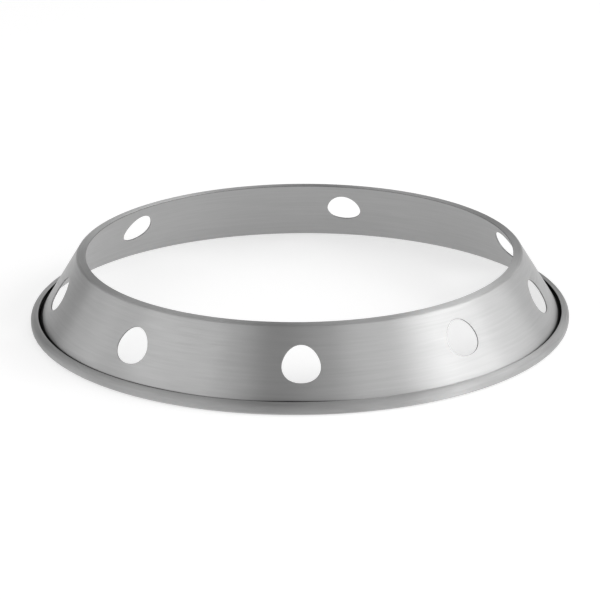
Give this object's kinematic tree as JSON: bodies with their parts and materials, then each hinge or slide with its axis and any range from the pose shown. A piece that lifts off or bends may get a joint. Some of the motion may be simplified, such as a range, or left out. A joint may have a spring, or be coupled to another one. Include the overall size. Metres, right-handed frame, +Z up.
{
  "type": "wok ring",
  "caption": "Low conical ring of sheet steel with an inward lip, an open outward curl at the foot and round vent holes; steadies a round-bottomed wok on a hob.",
  "frame": {"origin": "centre of the circle that the curled foot stands on", "axes": "+Z up along the ring's axis, from the wide curled foot to the narrow lip; -Y is the front, where one hole faces"},
  "size_m": [0.24, 0.24, 0.0314],
  "materials": {
    "brushed_steel": "satin, brushed round the ring"
  },
  "bodies": {
    "root": {"wok_ring": "brushed_steel"}
  },
  "joints": []
}
